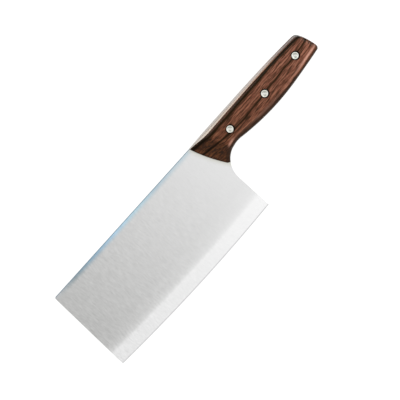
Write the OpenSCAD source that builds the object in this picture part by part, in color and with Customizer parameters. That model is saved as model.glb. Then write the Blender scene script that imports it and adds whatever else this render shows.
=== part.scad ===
// Chopping knife: a tall rectangular blade with a full tang, two riveted wooden
// scales and three two-piece rivets. The knife lies on its side: +X points to the
// butt of the handle, +Y to the spine, +Z out of the left cheek.

/* [Blade] */
// Length of the cutting edge, from the front corner to the heel
blade_length = 177.2; // [140:0.2:220]
// Height of the blade at its front corner
front_height = 78.8; // [70:0.2:95]
// Height of the blade at the heel
heel_height = 80.2; // [70:0.2:95]
// How far the cutting edge bows below the line between its two corners
edge_bow = 2.5; // [1.5:0.1:6]
// How many degrees the front edge leans forward toward the cutting edge
front_lean = 2; // [0:0.1:5]
// Radius of the corner between the front edge and the cutting edge
edge_corner_r = 1.2; // [0.5:0.1:3]
// Radius of the corner between the front edge and the spine
spine_corner_r = 1.5; // [0.5:0.1:3]

/* [Steel] */
// Thickness of the steel inside the handle
steel_t = 2; // [1.6:0.1:3]
// How much grinding takes off each cheek in front of the wood
cheek_grind = 0.05; // [0.02:0.01:0.15]
// How far ahead of the wood the ground part of each cheek ends
grind_stop = 0.3; // [0.1:0.1:2]
// Width of the ground bevel, from its upper border to the cutting edge
bevel_w = 13.2; // [8:0.2:24]
// Thickness left where the ground bevel meets the honed edge
bevel_t = 0.6; // [0.3:0.05:1]
// Width of the honed edge
hone_w = 0.9; // [0.4:0.1:2]
// Thickness of the cutting edge itself
edge_t = 0.1; // [0.05:0.05:0.2]
// Chamfer that eases the spine between the front corner and the wood
spine_ease = 0.25; // [0.1:0.05:0.5]

/* [Handle outline] */
// Length of the whole knife
overall_length = 300; // [280:1:340]
// Radius of the finger notch between the heel and the handle
notch_r = 22; // [18:0.2:28]
// Depth of the handle below the spine line at its fullest place, the belly
belly_depth = 28.1; // [25:0.1:32]
// Place of the belly, as a share of the way from the heel to the butt
belly_share = 0.528; // [0.45:0.001:0.58]
// Radius of the underside at the belly
belly_r = 218; // [140:1:260]
// Place where the flatter tail of the underside starts, as a share of the same way
tail_share = 0.72; // [0.6:0.001:0.8]
// Radius of the underside along the tail
tail_r = 785; // [350:5:900]
// Place where the top line starts to fall, as a share of the same way
fall_share = 0.414; // [0.35:0.001:0.75]
// Radius of the falling stretch of the top line
fall_r = 1080; // [300:5:1500]
// Radius of the bowed butt end
butt_r = 46; // [40:1:300]
// How many degrees the butt end leans at its lower corner
butt_lean = 5; // [2:0.5:16]
// Radius of the upper corner of the butt
butt_top_r = 5; // [1:0.1:7]
// Radius of the lower corner of the butt
butt_low_r = 2.8; // [1:0.1:4]

/* [Wooden scales] */
// Thickness of each scale where it is full
scale_t = 8; // [6:0.1:9.5]
// Thickness of each scale at its thin front edge
scale_front_t = 1.2; // [0.6:0.1:2.5]
// How far ahead of the heel the wood starts, along the spine
wood_lead = 10.2; // [6:0.2:13]
// How many degrees the front edge of the wood slants back
wood_slant = 22.4; // [18:0.2:26]
// How far the front edge of the wood bows forward between its two ends
wood_bow = 1.2; // [0:0.1:3]
// Length that a blunt cut takes off the foot of the front edge
foot_cut = 2.8; // [0.5:0.1:5]
// How many degrees that blunt cut leans down toward the butt
foot_lean = 33; // [0:1:50]
// Length of the ramp behind the front edge, along the spine
ramp_top = 13.6; // [8:0.2:20]
// Length of the ramp behind the front edge, along the underside
ramp_low = 13.6; // [8:0.2:16]
// Rounding of the edge along the spine, just behind the ramp
top_round = 5; // [1:0.1:5.2]
// Rounding of the edge along the spine, at the butt
top_round_rear = 2.5; // [1:0.1:5]
// Rounding of the edge along the underside, measured across the handle
low_round = 4.2; // [1:0.1:5]
// Rounding of the edge along the underside, measured through the scale
low_rise = 4.2; // [1:0.1:4.5]
// Rounding of the edge round the butt, measured through the scale
butt_rise = 1.8; // [0.5:0.1:3]

/* [Rivets] */
// Distance from the heel back to the front rivet
rivet_reach = 24.2; // [20:0.1:28]
// Distance from the butt forward to the rear rivet
rivet_inset = 18.3; // [14:0.1:24]
// Place of the middle rivet, as a share of the way from the front rivet to the rear one
middle_rivet_share = 0.505; // [0.4:0.005:0.6]
// Depth of the front rivet below the spine line
front_rivet_depth = 12.4; // [10:0.1:14]
// Depth of the middle rivet below the spine line
middle_rivet_depth = 14; // [11:0.1:15]
// Depth of the rear rivet below the spine line
rear_rivet_depth = 11.7; // [10:0.1:13]
// Diameter of a rivet head
head_d = 6.3; // [5.5:0.1:8]
// Thickness of a rivet head
head_t = 1.6; // [1.2:0.1:2.2]
// Outer diameter of the socket tube
tube_d = 4.6; // [4.2:0.1:5]
// Diameter of the post that is pressed into the tube
post_d = 3.2; // [2.6:0.1:3.4]
// Diameter of the shallow dimple in each head
dimple_d = 3.4; // [2:0.1:4.5]
// Depth of the shallow dimple in each head
dimple_depth = 0.2; // [0.1:0.05:0.4]
// Bevel round the rim of each head
head_ease = 0.2; // [0.1:0.05:0.4]

/* [Clearances] */
// Gap all round the post inside its tube
post_gap = 0.03; // [0.02:0.01:0.1]
// Gap all round the tube in the wood and the steel
tube_gap = 0.1; // [0.05:0.05:0.3]
// Gap all round a head in its seat
head_gap = 0.1; // [0.05:0.05:0.3]
// Width of the bevelled mouth of a head's seat, which shows as a dark ring
mouth_w = 0.45; // [0.2:0.05:0.8]
// Depth of the bevelled mouth of a head's seat
mouth_depth = 0.5; // [0.2:0.05:0.8]
// Room left past the end of a post or a tube
end_gap = 0.6; // [0.3:0.1:1.2]

/* [Hidden] */
$fn = 96;

// How far a cutting shape runs past what it cuts
overrun = 1;
// Segments that a full turn of the cutting edge's large circle is drawn with
edge_fn = 1440;
// Power of the ramp's hollow: 1 is straight, more is hollower
ramp_hollow = 1.3;
// Most of a scale's thickness that the rounding of its long edges takes
round_share = 0.65;
// Counts of the mesh of a scale: along the ramp, its front edge, the grip and the butt, and across
ramp_steps = 12;
bow_steps = 8;
grip_steps = 26;
butt_steps = 8;
round_steps = 8;
face_steps = 4;

// Unit vector at an angle, and from one point toward another
function ray(angle) = [cos(angle), sin(angle)];
function toward(a, b) = (b - a) / norm(b - a);
// Angle of the vector from one point to another
function bearing(a, b) = atan2(b.y - a.y, b.x - a.x);
// Height of a circle's upper or lower half over a place along X
function over_circle(c, r, x) = c.y + sqrt(r * r - pow(x - c.x, 2));
function under_circle(c, r, x) = c.y - sqrt(r * r - pow(x - c.x, 2));
// Where two circles cross, of the two places the one farther up and back
function rear_meeting(a, ra, b, rb) = let (
  d = norm(b - a),
  along = (ra * ra - rb * rb + d * d) / (2 * d),
  aside = sqrt(ra * ra - along * along),
  e = toward(a, b),
  p = a + along * e + aside * [-e.y, e.x],
  q = a + along * e - aside * [-e.y, e.x]
) p.x + p.y > q.x + q.y ? p : q;

// The cutting edge is an arc through its two corners
edge_front = [0, -front_height];
edge_heel = [blade_length, -heel_height];
edge_chord = norm(edge_heel - edge_front);
edge_r = (pow(edge_chord / 2, 2) + pow(edge_bow, 2)) / (2 * edge_bow);
edge_side = toward(edge_front, edge_heel);
edge_c = (edge_front + edge_heel) / 2 + (edge_r - edge_bow) * [-edge_side.y, edge_side.x];
edge_depth = edge_r - edge_c.y;

// Ring about the same centre that holds the whole knife, and the turn to a place along X
edge_inner_r = edge_r - edge_depth - overrun;
function edge_turn(x) = asin((x - edge_c.x) / edge_inner_r);

// The front edge touches the rounding of its lower corner
front_normal = ray(180 - front_lean);
edge_corner_c = [
  edge_corner_r,
  under_circle(edge_c, edge_r - edge_corner_r, edge_corner_r)
];
front_low = edge_corner_c + edge_corner_r * front_normal;
front_top_x = front_low.x - front_low.y * tan(front_lean);
spine_corner_c = [
  front_top_x + spine_corner_r * (1 - sin(front_lean)) / cos(front_lean),
  -spine_corner_r
];

// The underside is three arcs: the notch, the belly and the tail, each touching the next
grip_length = overall_length - blade_length;
belly_c = [blade_length + belly_share * grip_length, belly_r - belly_depth];
notch_x = blade_length + notch_r;
notch_c = [notch_x, under_circle(belly_c, belly_r + notch_r, notch_x)];
notch_end = notch_c + notch_r * toward(notch_c, belly_c);
tail_x = blade_length + tail_share * grip_length;
tail_start = [tail_x, under_circle(belly_c, belly_r, tail_x)];
tail_c = tail_start + tail_r * toward(tail_start, belly_c);
function low_y(x) =
  x < notch_end.x ? over_circle(notch_c, notch_r, x) :
  x < tail_x ? under_circle(belly_c, belly_r, x) :
  under_circle(tail_c, tail_r, x);

// The top line is straight and then falls a little toward the butt
fall_c = [blade_length + fall_share * grip_length, -fall_r];
function top_y(x) = x < fall_c.x ? 0 : over_circle(fall_c, fall_r, x);

// The butt is an arc between two rounded corners
butt_low_x = overall_length - butt_low_r;
butt_low_c = [butt_low_x, under_circle(tail_c, tail_r - butt_low_r, butt_low_x)];
butt_c = butt_low_c - (butt_r - butt_low_r) * ray(butt_lean);
butt_top_c = rear_meeting(fall_c, fall_r - butt_top_r, butt_c, butt_r - butt_top_r);
butt_top_angles = [bearing(fall_c, butt_top_c), bearing(butt_c, butt_top_c)];
butt_low_angles = [bearing(tail_c, butt_low_c), butt_lean];

// The wood starts at a slanted line from the spine to the notch
wood_front = blade_length - wood_lead;
wood_foot = [wood_front, 0] - notch_c;
wood_way = ray(wood_slant - 90);
wood_along = -wood_foot * wood_way
  - sqrt(pow(wood_foot * wood_way, 2) - wood_foot * wood_foot + notch_r * notch_r);
wood_low = [wood_front, 0] + wood_along * wood_way;
cut_start = wood_low - foot_cut * wood_way;
function front_place(share) = [wood_front, 0] + share * (cut_start - [wood_front, 0])
  - [wood_bow * 4 * share * (1 - share), 0];
// Underside of the ramp: the blunt cut, and then the notch
function ramp_low_y(x) = max(
  low_y(max(x, blade_length)),
  cut_start.y - (x - cut_start.x) * tan(foot_lean)
);

knife_t = steel_t + 2 * scale_t;

front_rivet_x = blade_length + rivet_reach;
rear_rivet_x = overall_length - rivet_inset;
rivet_places = [
  [front_rivet_x, -front_rivet_depth],
  [front_rivet_x + middle_rivet_share * (rear_rivet_x - front_rivet_x), -middle_rivet_depth],
  [rear_rivet_x, -rear_rivet_depth]
];

// The knife's box is centred on the origin and stands on it
module in_place() {
  translate([-overall_length / 2, edge_depth / 2, knife_t / 2])
    children();
}

// What a rounded corner removes, between two sides with the outward directions a and b
module corner_waste(centre, r, a, b) {
  difference() {
    polygon([centre, centre + r * a, centre + 2 * r * (a + b), centre + r * b]);
    translate(centre)
      circle(r = r);
  }
}

// Outline of the plate, deeper than the cutting edge, and of the neck above the notch
module plate_outline() {
  deep = edge_depth + overrun;
  difference() {
    polygon([
      [front_top_x, 0],
      [notch_end.x, 0],
      [notch_end.x, notch_c.y],
      [blade_length, notch_c.y],
      [blade_length, -deep],
      [front_top_x - deep * tan(front_lean), -deep]
    ]);
    translate(notch_c)
      circle(r = notch_r);
    corner_waste(edge_corner_c, edge_corner_r, front_normal, toward(edge_c, edge_corner_c));
    corner_waste(spine_corner_c, spine_corner_r, front_normal, ray(90));
  }
}

// Outline of the tang behind the notch
module tang_outline() {
  deep = belly_depth + overrun;
  difference() {
    intersection() {
      union() {
        intersection() {
          translate([notch_end.x - overrun, -deep])
            square([tail_x - notch_end.x + 2 * overrun, deep]);
          translate(belly_c)
            circle(r = belly_r, $fn = edge_fn);
        }
        intersection() {
          translate([tail_x, -deep])
            square([overall_length - tail_x, deep]);
          translate(tail_c)
            circle(r = tail_r, $fn = edge_fn);
        }
      }
      union() {
        translate([notch_end.x - overrun, -deep])
          square([fall_c.x - notch_end.x + overrun, deep]);
        translate(fall_c)
          circle(r = fall_r, $fn = edge_fn);
      }
      union() {
        translate([notch_end.x - overrun, -deep])
          square([max(butt_c.x - notch_end.x, 0) + overrun, deep]);
        translate(butt_c)
          circle(r = butt_r, $fn = edge_fn);
      }
    }
    corner_waste(butt_top_c, butt_top_r, ray(butt_top_angles[0]), ray(butt_top_angles[1]));
    corner_waste(butt_low_c, butt_low_r, ray(butt_low_angles[0]), ray(butt_low_angles[1]));
  }
}

// Section of the steel, turned about the centre of the cutting edge's circle
module edge_section() {
  cheek_z = steel_t / 2 - cheek_grind;
  bevel_slope = (cheek_z - bevel_t / 2) / (bevel_w - hone_w);
  bevel_top = edge_r - bevel_w - cheek_grind / bevel_slope;
  polygon([
    [edge_inner_r, -steel_t / 2],
    [bevel_top, -steel_t / 2],
    [edge_r - hone_w, -bevel_t / 2],
    [edge_r, -edge_t / 2],
    [edge_r, edge_t / 2],
    [edge_r - hone_w, bevel_t / 2],
    [bevel_top, steel_t / 2],
    [edge_inner_r, steel_t / 2]
  ]);
}

// What grinding takes off a cheek, up to a bowed line just ahead of the wood
module cheek_waste() {
  deep = edge_depth + overrun;
  stop = wood_front - grind_stop;
  linear_extrude(height = cheek_grind + overrun)
    polygon(concat(
      [[-overrun, -deep], [-overrun, overrun], [stop - overrun * tan(wood_slant), overrun]],
      [for (i = [0:bow_steps]) front_place(i / bow_steps) - [grind_stop, 0]],
      [[stop + deep * tan(wood_slant), -deep]]
    ));
}

// A wedge along the spine, on the left or the right side
module spine_waste(side) {
  reach = spine_ease + overrun;
  translate([-overrun, 0, side * (steel_t / 2 - cheek_grind)])
    rotate([90, 0, 90])
      linear_extrude(height = wood_front + overrun)
        polygon([
          [-spine_ease, 0],
          [-spine_ease, side * overrun],
          [overrun, side * overrun],
          [overrun, -side * reach]
        ]);
}

// The blade and its tang are one piece of steel
module blade() {
  first_turn = edge_turn(-overrun);
  last_turn = edge_turn(overall_length + overrun);
  color("#cfd1d1")
    in_place()
      difference() {
        intersection() {
          union() {
            linear_extrude(height = steel_t + 2 * overrun, center = true)
              plate_outline();
            linear_extrude(height = steel_t + 2 * overrun, center = true)
              tang_outline();
          }
          translate(edge_c)
            rotate(first_turn - 90)
              rotate_extrude(angle = last_turn - first_turn, $fn = edge_fn)
                edge_section();
        }
        for (side = [-1, 1])
          spine_waste(side);
        translate([0, 0, steel_t / 2 - cheek_grind])
          cheek_waste();
        mirror([0, 0, 1])
          translate([0, 0, steel_t / 2 - cheek_grind])
            cheek_waste();
        for (place = rivet_places)
          translate(place)
            cylinder(d = tube_d + 2 * tube_gap, h = steel_t + 2 * overrun, center = true);
      }
}

// Stations along a scale: top point, low point, thickness, bow of the line between them
// and rounding of the edge along the spine
function ramp_station(f) = [
  [wood_front + f * ramp_top, top_y(wood_front + f * ramp_top)],
  [cut_start.x + f * ramp_low, ramp_low_y(cut_start.x + f * ramp_low)],
  scale_front_t + (scale_t - scale_front_t) * pow(f, ramp_hollow),
  -wood_bow * (1 - f),
  top_round
];
grip_top = [wood_front + ramp_top, butt_top_c.x + butt_top_r * cos(butt_top_angles[0])];
grip_low = [cut_start.x + ramp_low, butt_low_c.x + butt_low_r * cos(butt_low_angles[0])];
function grip_station(f) = let (
  xt = grip_top[0] + f * (grip_top[1] - grip_top[0]),
  xl = grip_low[0] + f * (grip_low[1] - grip_low[0])
) [[xt, top_y(xt)], [xl, low_y(xl)], scale_t, 0, top_round + f * (top_round_rear - top_round)];
butt_ends = [
  butt_top_c + butt_top_r * ray(butt_top_angles[1]),
  butt_low_c + butt_low_r * ray(butt_low_angles[1])
];
butt_bow = butt_r - sqrt(butt_r * butt_r - pow(norm(butt_ends[1] - butt_ends[0]) / 2, 2));
butt_way = toward(butt_c, (butt_ends[0] + butt_ends[1]) / 2);
function butt_station(f) = let (
  top_angle = butt_top_angles[0] + f * (butt_top_angles[1] - butt_top_angles[0]),
  low_angle = butt_low_angles[0] + f * (butt_low_angles[1] - butt_low_angles[0])
) [
  butt_top_c + butt_top_r * ray(top_angle),
  butt_low_c + butt_low_r * ray(low_angle),
  scale_t - butt_rise * (1 - cos(90 * f)),
  butt_bow * sin(90 * f),
  top_round_rear
];
stations = concat(
  [for (i = [0:ramp_steps - 1]) ramp_station(i / ramp_steps)],
  [for (i = [0:grip_steps - 1]) grip_station(i / grip_steps)],
  [for (i = [0:butt_steps]) butt_station(i / butt_steps)]
);

// Upper side of a scale at one station: share of the way across and height
function section(station) = let (
  w = norm(station[1] - station[0]),
  t = station[2],
  up = min(station[4], round_share * t),
  low = min(low_rise, round_share * t),
  low_w = low_round * low / low_rise,
  turn = 90 / round_steps
) concat(
  [for (i = [0:round_steps])
    [up * (1 - cos(turn * i)) / w, t - up * (1 - sin(turn * i))]],
  [for (i = [1:face_steps - 1])
    [(up + (w - up - low_w) * i / face_steps) / w, t]],
  [for (i = [round_steps:-1:0])
    [1 - low_w * (1 - cos(turn * i)) / w, t - low * (1 - sin(turn * i))]]
);

// One station as a closed ring: the upper side, then the same places on the inner face
function across(station, share) = station[0] + share * (station[1] - station[0])
  + station[3] * 4 * share * (1 - share) * (station[3] < 0 ? [1, 0] : butt_way);
function ring(station) = let (upper = section(station), last = len(upper) - 1) concat(
  [for (p = upper) concat(across(station, p[0]), p[1])],
  [for (i = [last:-1:0]) concat(across(station, upper[i][0]), 0)]
);

// One wooden scale, standing on its flat inner face, before the rivets' seats are cut
module scale_blank() {
  rings = [for (s = stations) ring(s)];
  n = len(rings[0]);
  m = n / 2;
  last = len(rings) - 1;
  sides = [for (j = [0:last - 1], i = [0:n - 1]) let (
    a = j * n + i,
    b = j * n + (i + 1) % n
  ) each [[a, b + n, b], [a, a + n, b + n]]];
  front = [for (i = [0:m - 2]) each [[i, n - 2 - i, n - 1 - i], [i, i + 1, n - 2 - i]]];
  back = [for (i = [0:m - 2]) let (o = last * n)
    each [[o + i, o + n - 1 - i, o + n - 2 - i], [o + i, o + n - 2 - i, o + i + 1]]];
  polyhedron(points = [for (r = rings) each r], faces = concat(sides, front, back));
}

// Room for one rivet in a scale: the tube's bore, the head's seat and its bevelled mouth
module rivet_room() {
  bore_r = tube_d / 2 + tube_gap;
  seat_r = head_d / 2 + head_gap;
  seat_z = knife_t / 2 - head_t;
  mouth_z = knife_t / 2 - mouth_depth;
  rotate_extrude()
    polygon([
      [0, 0],
      [bore_r, 0],
      [bore_r, seat_z],
      [seat_r, seat_z],
      [seat_r, mouth_z],
      [seat_r + mouth_w, knife_t / 2],
      [seat_r + mouth_w, knife_t / 2 + overrun],
      [0, knife_t / 2 + overrun]
    ]);
}

// The wooden scale on the left cheek's side
module scale_solid() {
  difference() {
    translate([0, 0, steel_t / 2])
      scale_blank();
    for (place = rivet_places)
      translate(place)
        rivet_room();
  }
}

module scale_left() {
  color("#6f4a3c")
    in_place()
      scale_solid();
}

module scale_right() {
  color("#6f4a3c")
    in_place()
      mirror([0, 0, 1])
        scale_solid();
}

// Male half of a rivet: a dimpled head on a solid post, head up
module rivet_post() {
  head_r = head_d / 2;
  top = knife_t / 2;
  post_end = head_t + end_gap - top;
  rotate_extrude()
    polygon([
      [0, post_end],
      [post_d / 2, post_end],
      [post_d / 2, top - head_t],
      [head_r, top - head_t],
      [head_r, top - head_ease],
      [head_r - head_ease, top],
      [dimple_d / 2, top],
      [dimple_d / 2 - dimple_depth, top - dimple_depth],
      [0, top - dimple_depth]
    ]);
}

// Female half of a rivet: a dimpled head on an open tube, head down
module rivet_socket() {
  head_r = head_d / 2;
  base = -knife_t / 2;
  tube_end = -base - head_t - end_gap;
  bore_r = post_d / 2 + post_gap;
  rotate_extrude()
    polygon([
      [0, base + dimple_depth],
      [dimple_d / 2 - dimple_depth, base + dimple_depth],
      [dimple_d / 2, base],
      [head_r - head_ease, base],
      [head_r, base + head_ease],
      [head_r, base + head_t],
      [tube_d / 2, base + head_t],
      [tube_d / 2, tube_end],
      [bore_r, tube_end],
      [bore_r, base + head_t],
      [0, base + head_t]
    ]);
}

// One half of the rivet at a place, counted from the front
module rivet_half(place, male) {
  color("#e4e4e0")
    in_place()
      translate(rivet_places[place]) {
        if (male)
          rivet_post();
        else
          rivet_socket();
      }
}

module rivet_front_post() { rivet_half(0, true); }
module rivet_front_socket() { rivet_half(0, false); }
module rivet_middle_post() { rivet_half(1, true); }
module rivet_middle_socket() { rivet_half(1, false); }
module rivet_rear_post() { rivet_half(2, true); }
module rivet_rear_socket() { rivet_half(2, false); }

blade();
scale_left();
scale_right();
rivet_front_post();
rivet_front_socket();
rivet_middle_post();
rivet_middle_socket();
rivet_rear_post();
rivet_rear_socket();
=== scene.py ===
import math
from functools import partial

import bmesh
import bpy
from mathutils import Matrix, Vector, noise


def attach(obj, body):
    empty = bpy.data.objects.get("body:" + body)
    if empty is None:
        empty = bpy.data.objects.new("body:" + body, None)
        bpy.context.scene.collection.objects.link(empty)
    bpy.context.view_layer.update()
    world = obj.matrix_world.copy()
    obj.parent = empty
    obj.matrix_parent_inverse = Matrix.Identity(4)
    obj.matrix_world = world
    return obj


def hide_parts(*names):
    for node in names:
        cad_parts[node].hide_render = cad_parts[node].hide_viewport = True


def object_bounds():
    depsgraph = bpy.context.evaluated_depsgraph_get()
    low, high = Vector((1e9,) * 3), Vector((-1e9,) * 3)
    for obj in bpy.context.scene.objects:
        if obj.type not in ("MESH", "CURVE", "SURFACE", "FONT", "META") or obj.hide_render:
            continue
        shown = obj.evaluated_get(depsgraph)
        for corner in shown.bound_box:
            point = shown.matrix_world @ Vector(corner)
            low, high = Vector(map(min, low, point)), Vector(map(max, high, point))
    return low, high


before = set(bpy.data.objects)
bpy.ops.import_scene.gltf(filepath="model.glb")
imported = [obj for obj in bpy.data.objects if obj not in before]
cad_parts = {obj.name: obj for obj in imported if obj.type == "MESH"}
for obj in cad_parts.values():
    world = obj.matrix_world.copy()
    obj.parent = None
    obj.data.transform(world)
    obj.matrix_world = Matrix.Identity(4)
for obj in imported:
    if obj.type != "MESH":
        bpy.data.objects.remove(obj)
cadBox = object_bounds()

mm = 0.001  # sizes below are in millimetres, Blender works in metres


# helpers
def srgb(code):
    # hex colour as a paint chart gives it, turned to the linear values that shaders take
    parts = [int(code[i:i + 2], 16) / 255 for i in (0, 2, 4)]
    return [c / 12.92 if c <= 0.04045 else ((c + 0.055) / 1.055) ** 2.4 for c in parts] + [1.0]


def addNode(tree, kind, settings=None, inputs=None, stops=None, points=None):
    # settings go on the node, and a bare word there is its operation; inputs take a value, a socket, or
    # a node whose output in use is linked; stops are for a colour ramp and points for a float curve
    made = tree.nodes.new("ShaderNode" + kind)
    if isinstance(settings, str):
        settings = {"operation": settings}
    for key, value in (settings or {}).items():
        setattr(made, key, value)
    for key, value in (inputs or {}).items():
        if isinstance(value, bpy.types.Node):
            value = next(socket for socket in value.outputs if socket.enabled)
        if isinstance(value, bpy.types.NodeSocket):
            tree.links.new(value, made.inputs[key])
        else:
            made.inputs[key].default_value = value
    if stops:
        ramp = made.color_ramp
        while len(ramp.elements) < len(stops):
            ramp.elements.new(1.0)
        for element, (at, colour) in zip(ramp.elements, stops):
            element.position = at
            element.color = srgb(colour)
    if points:
        curve = made.mapping.curves[0]
        curve.points[0].location, curve.points[1].location = points[0], points[-1]
        for point in points[1:-1]:
            curve.points.new(*point)
        made.mapping.update()
    return made


# node settings that come up again and again
ofColours = {"data_type": "RGBA"}
darkening = {"data_type": "RGBA", "blend_type": "MULTIPLY"}
softly = {"interpolation_type": "SMOOTHSTEP"}


def emptyTree(owner):
    # a material's or world's cleared node tree, as a function that adds nodes to it
    owner.use_nodes = True
    owner.node_tree.nodes.clear()
    return partial(addNode, owner.node_tree)


def newMaterial(name):
    material = bpy.data.materials.new(name)
    return material, emptyTree(material)


def blendSteps(low, high, value):
    t = min(1.0, max(0.0, (value - low) / (high - low)))
    return t * t * (3 - 2 * t)


def softMin(a, b, k):
    h = max(k - abs(a - b), 0.0) / k
    return min(a, b) - h * h * k / 4


def shadeSmooth(mesh, sharpAt=30):
    mesh.polygons.foreach_set("use_smooth", [True] * len(mesh.polygons))
    mesh.set_sharp_from_angle(angle=math.radians(sharpAt))


def newPiece(name, verts, faces, material, sharpAt=30):
    mesh = bpy.data.meshes.new(name)
    mesh.from_pydata(verts, [], faces)
    mesh.validate()
    body = bmesh.new()
    body.from_mesh(mesh)
    bmesh.ops.recalc_face_normals(body, faces=body.faces)
    body.to_mesh(mesh)
    body.free()
    mesh.materials.append(material)
    shadeSmooth(mesh, sharpAt)
    mesh.update()
    piece = bpy.data.objects.new(name, mesh)
    bpy.context.scene.collection.objects.link(piece)
    return piece


def meshWithModifiers(piece):
    # the mesh as the modifiers leave it
    bpy.context.view_layer.update()
    graph = bpy.context.evaluated_depsgraph_get()
    return bpy.data.meshes.new_from_object(piece.evaluated_get(graph), depsgraph=graph)


# outline of the knife
# x runs from the front of the blade to the butt, y is 0 at the spine line and negative
# toward the cutting edge, z is 0 in the middle of the steel; shares are of the length behind the heel
knife = {
    "length": 300.0,
    "bladeLength": 177.2,
    "frontHeight": 78.8,
    "heelHeight": 80.2,
    "edgeBow": 2.5,
    "steel": 2.0,
    "scaleThickness": 8.0,
    "bevelWidth": 13.2,
    "honeWidth": 0.9,
    "notchRadius": 22.0,
    "bellyDepth": 28.1,
    "bellyShare": 0.528,
    "bellyRadius": 218.0,
    "tailShare": 0.72,
    "tailRadius": 785.0,
    "fallShare": 0.414,
    "fallRadius": 1080.0,
    "buttRadius": 46.0,
    "buttLean": 5.0,
    "buttTopRadius": 5.0,
    "buttLowRadius": 2.8,
    "woodLead": 10.2,
    "woodSlant": 22.4,
    "woodBow": 1.2,
    "footCut": 2.8,
    "footLean": 33.0,
}
heelX = knife["bladeLength"]
steelHalf = knife["steel"] / 2
handleHalf = steelHalf + knife["scaleThickness"]


def ray(angle):
    return Vector((math.cos(angle), math.sin(angle)))


def bearing(a, b):
    return math.atan2(b.y - a.y, b.x - a.x)


def overCircle(centre, radius, x):
    return centre.y + math.sqrt(radius * radius - (x - centre.x) ** 2)


def underCircle(centre, radius, x):
    return centre.y - math.sqrt(radius * radius - (x - centre.x) ** 2)


edgeFront = Vector((0, -knife["frontHeight"]))
edgeHeel = Vector((heelX, -knife["heelHeight"]))
edgeRadius = (((edgeHeel - edgeFront).length / 2) ** 2 + knife["edgeBow"] ** 2) / (2 * knife["edgeBow"])
edgeSide = (edgeHeel - edgeFront).normalized()
edgeCentre = (edgeFront + edgeHeel) / 2 + (edgeRadius - knife["edgeBow"]) * Vector((-edgeSide.y, edgeSide.x))
edgeDepth = edgeRadius - edgeCentre.y

gripLength = knife["length"] - heelX
bellyX = heelX + knife["bellyShare"] * gripLength
bellyCentre = Vector((bellyX, knife["bellyRadius"] - knife["bellyDepth"]))
notchX = heelX + knife["notchRadius"]
notchCentre = Vector((notchX, underCircle(bellyCentre, knife["bellyRadius"] + knife["notchRadius"], notchX)))
notchEnd = notchCentre + knife["notchRadius"] * (bellyCentre - notchCentre).normalized()
tailX = heelX + knife["tailShare"] * gripLength
tailStart = Vector((tailX, underCircle(bellyCentre, knife["bellyRadius"], tailX)))
tailCentre = tailStart + knife["tailRadius"] * (bellyCentre - tailStart).normalized()
fallCentre = Vector((heelX + knife["fallShare"] * gripLength, -knife["fallRadius"]))
buttLean = math.radians(knife["buttLean"])
buttLowX = knife["length"] - knife["buttLowRadius"]
buttLowY = underCircle(tailCentre, knife["tailRadius"] - knife["buttLowRadius"], buttLowX)
buttLowCentre = Vector((buttLowX, buttLowY))
buttCentre = buttLowCentre - (knife["buttRadius"] - knife["buttLowRadius"]) * ray(buttLean)


def lowerY(x):
    if x < notchEnd.x:
        return overCircle(notchCentre, knife["notchRadius"], x)
    if x < tailX:
        return underCircle(bellyCentre, knife["bellyRadius"], x)
    return underCircle(tailCentre, knife["tailRadius"], x)


def upperY(x):
    return 0.0 if x < fallCentre.x else overCircle(fallCentre, knife["fallRadius"], x)


def rearMeeting(a, ra, b, rb):
    d = (b - a).length
    along = (ra * ra - rb * rb + d * d) / (2 * d)
    aside = math.sqrt(ra * ra - along * along)
    e = (b - a) / d
    side = Vector((-e.y, e.x))
    return max((a + along * e + aside * side, a + along * e - aside * side), key=lambda p: p.x + p.y)


buttTopCentre = rearMeeting(fallCentre, knife["fallRadius"] - knife["buttTopRadius"],
                            buttCentre, knife["buttRadius"] - knife["buttTopRadius"])
buttTopAngles = (bearing(fallCentre, buttTopCentre), bearing(buttCentre, buttTopCentre))
buttLowAngles = (bearing(tailCentre, buttLowCentre), buttLean)


# the wood starts at a slanted and slightly bowed line from the spine to the notch
woodFront = heelX - knife["woodLead"]
woodTop = Vector((woodFront, 0))
woodFoot = woodTop - notchCentre
woodWay = ray(math.radians(knife["woodSlant"] - 90))
woodAlong = -woodFoot.dot(woodWay) - math.sqrt(
    woodFoot.dot(woodWay) ** 2 - woodFoot.dot(woodFoot) + knife["notchRadius"] ** 2)
frontLength = woodAlong - knife["footCut"]
cutStart = woodTop + frontLength * woodWay
frontSink = knife["woodBow"] * math.cos(math.radians(knife["woodSlant"]))
frontRadius = (frontLength ** 2 / 4 + frontSink ** 2) / (2 * frontSink)
frontCentre = (woodTop + cutStart) / 2 + (frontRadius - frontSink) * Vector((-woodWay.y, woodWay.x))


def rampLowY(x):
    # the blunt cut across the foot, and then the notch
    return max(lowerY(max(x, heelX)),
               cutStart.y - (x - cutStart.x) * math.tan(math.radians(knife["footLean"])))


def place(x, y, z):
    # from the outline's millimetres to the row frame
    return Vector((x - knife["length"] / 2, y + edgeDepth / 2, z + handleHalf)) * mm


def outlinePoint(add):
    # the shaded point back in the outline's millimetres
    coords = add("TexCoord")
    found = add("VectorMath", "MULTIPLY_ADD", {
        0: coords.outputs["Object"], 1: (1 / mm,) * 3, 2: (knife["length"] / 2, -edgeDepth / 2, -handleHalf)})
    axes = add("SeparateXYZ", inputs={0: found})
    return found, axes.outputs, coords


def farFrom(add, point, centre):
    # distance in the outline's plane
    flat = add("VectorMath", "MULTIPLY", {0: point, 1: (1, 1, 0)})
    return add("VectorMath", "DISTANCE", {0: flat, 1: (centre.x, centre.y, 0)})


# camera, in metres
camera = {
    "tilt": 10.5,  # degrees that the camera leans toward the spine's side
    "turn": 47.93,  # degrees that the knife is turned in the picture
    "target": (-0.008, 0.0059, 0.009),
    "distance": 5.0,
    "across": 0.3278,  # metres that the picture takes in at the target
    "sensor": 36.0,  # mm
}


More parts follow.
